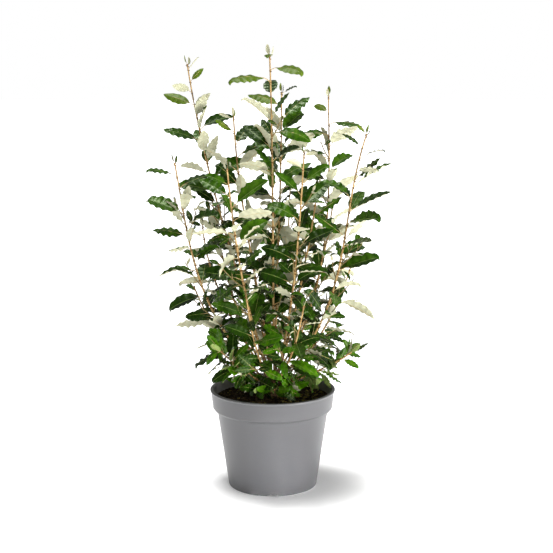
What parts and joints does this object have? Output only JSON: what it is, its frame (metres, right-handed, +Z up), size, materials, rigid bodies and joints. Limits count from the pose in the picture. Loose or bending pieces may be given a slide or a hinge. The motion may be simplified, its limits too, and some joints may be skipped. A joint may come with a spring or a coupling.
{
  "type": "potted elaeagnus shrub",
  "caption": "Elaeagnus shrub with upright stems and wavy silver-backed leaves, in a round grey nursery pot filled with soil.",
  "frame": {"origin": "centre of the pot's flat underside", "axes": "+Z up along the pot's axis; -Y towards the picture's viewer; +X to that viewer's right"},
  "size_m": [0.4358, 0.368, 0.7852],
  "materials": {
    "pot": "smooth grey moulded plastic, slightly satin",
    "soil": "dark crumbly potting soil with flecks of moss",
    "bark": "tan to brown bark, finely ridged, darker at the nodes",
    "foliage": "glossy dark green leaves, silvery beige below, on thin tan stems"
  },
  "bodies": {
    "root": {"bough_back_centre": "bark", "bough_back_left": "bark", "bough_back_left_inner": "bark", "bough_back_right": "bark", "bough_back_right_inner": "bark", "bough_centre_tall": "bark", "bough_front_left": "bark", "bough_front_right": "bark", "bough_inner_left": "bark", "bough_inner_right": "bark", "bough_left": "bark", "bough_left_short": "bark", "bough_left_tall": "bark", "bough_low_back": "bark", "bough_low_back_left": "bark", "bough_low_back_right": "bark", "bough_low_front_left": "bark", "bough_low_front_right": "bark", "bough_right": "bark", "bough_right_tall": "bark", "foliage_back_centre": "foliage", "foliage_back_left": "foliage", "foliage_back_left_inner": "foliage", "foliage_back_right": "foliage", "foliage_back_right_inner": "foliage", "foliage_basal_back_left": "foliage", "foliage_basal_back_right": "foliage", "foliage_basal_front": "foliage", "foliage_basal_front_left": "foliage", "foliage_basal_front_right": "foliage", "foliage_basal_left": "foliage", "foliage_centre_tall": "foliage", "foliage_front_left": "foliage", "foliage_front_right": "foliage", "foliage_inner_left": "foliage", "foliage_inner_right": "foliage", "foliage_left": "foliage", "foliage_left_short": "foliage", "foliage_left_tall": "foliage", "foliage_low_back": "foliage", "foliage_low_back_left": "foliage", "foliage_low_back_right": "foliage", "foliage_low_front_left": "foliage", "foliage_low_front_right": "foliage", "foliage_low_left_branch": "foliage", "foliage_low_right_branch": "foliage", "foliage_right": "foliage", "foliage_right_tall": "foliage", "pot": "pot", "soil": "soil", "trunk": "bark"}
  },
  "joints": []
}
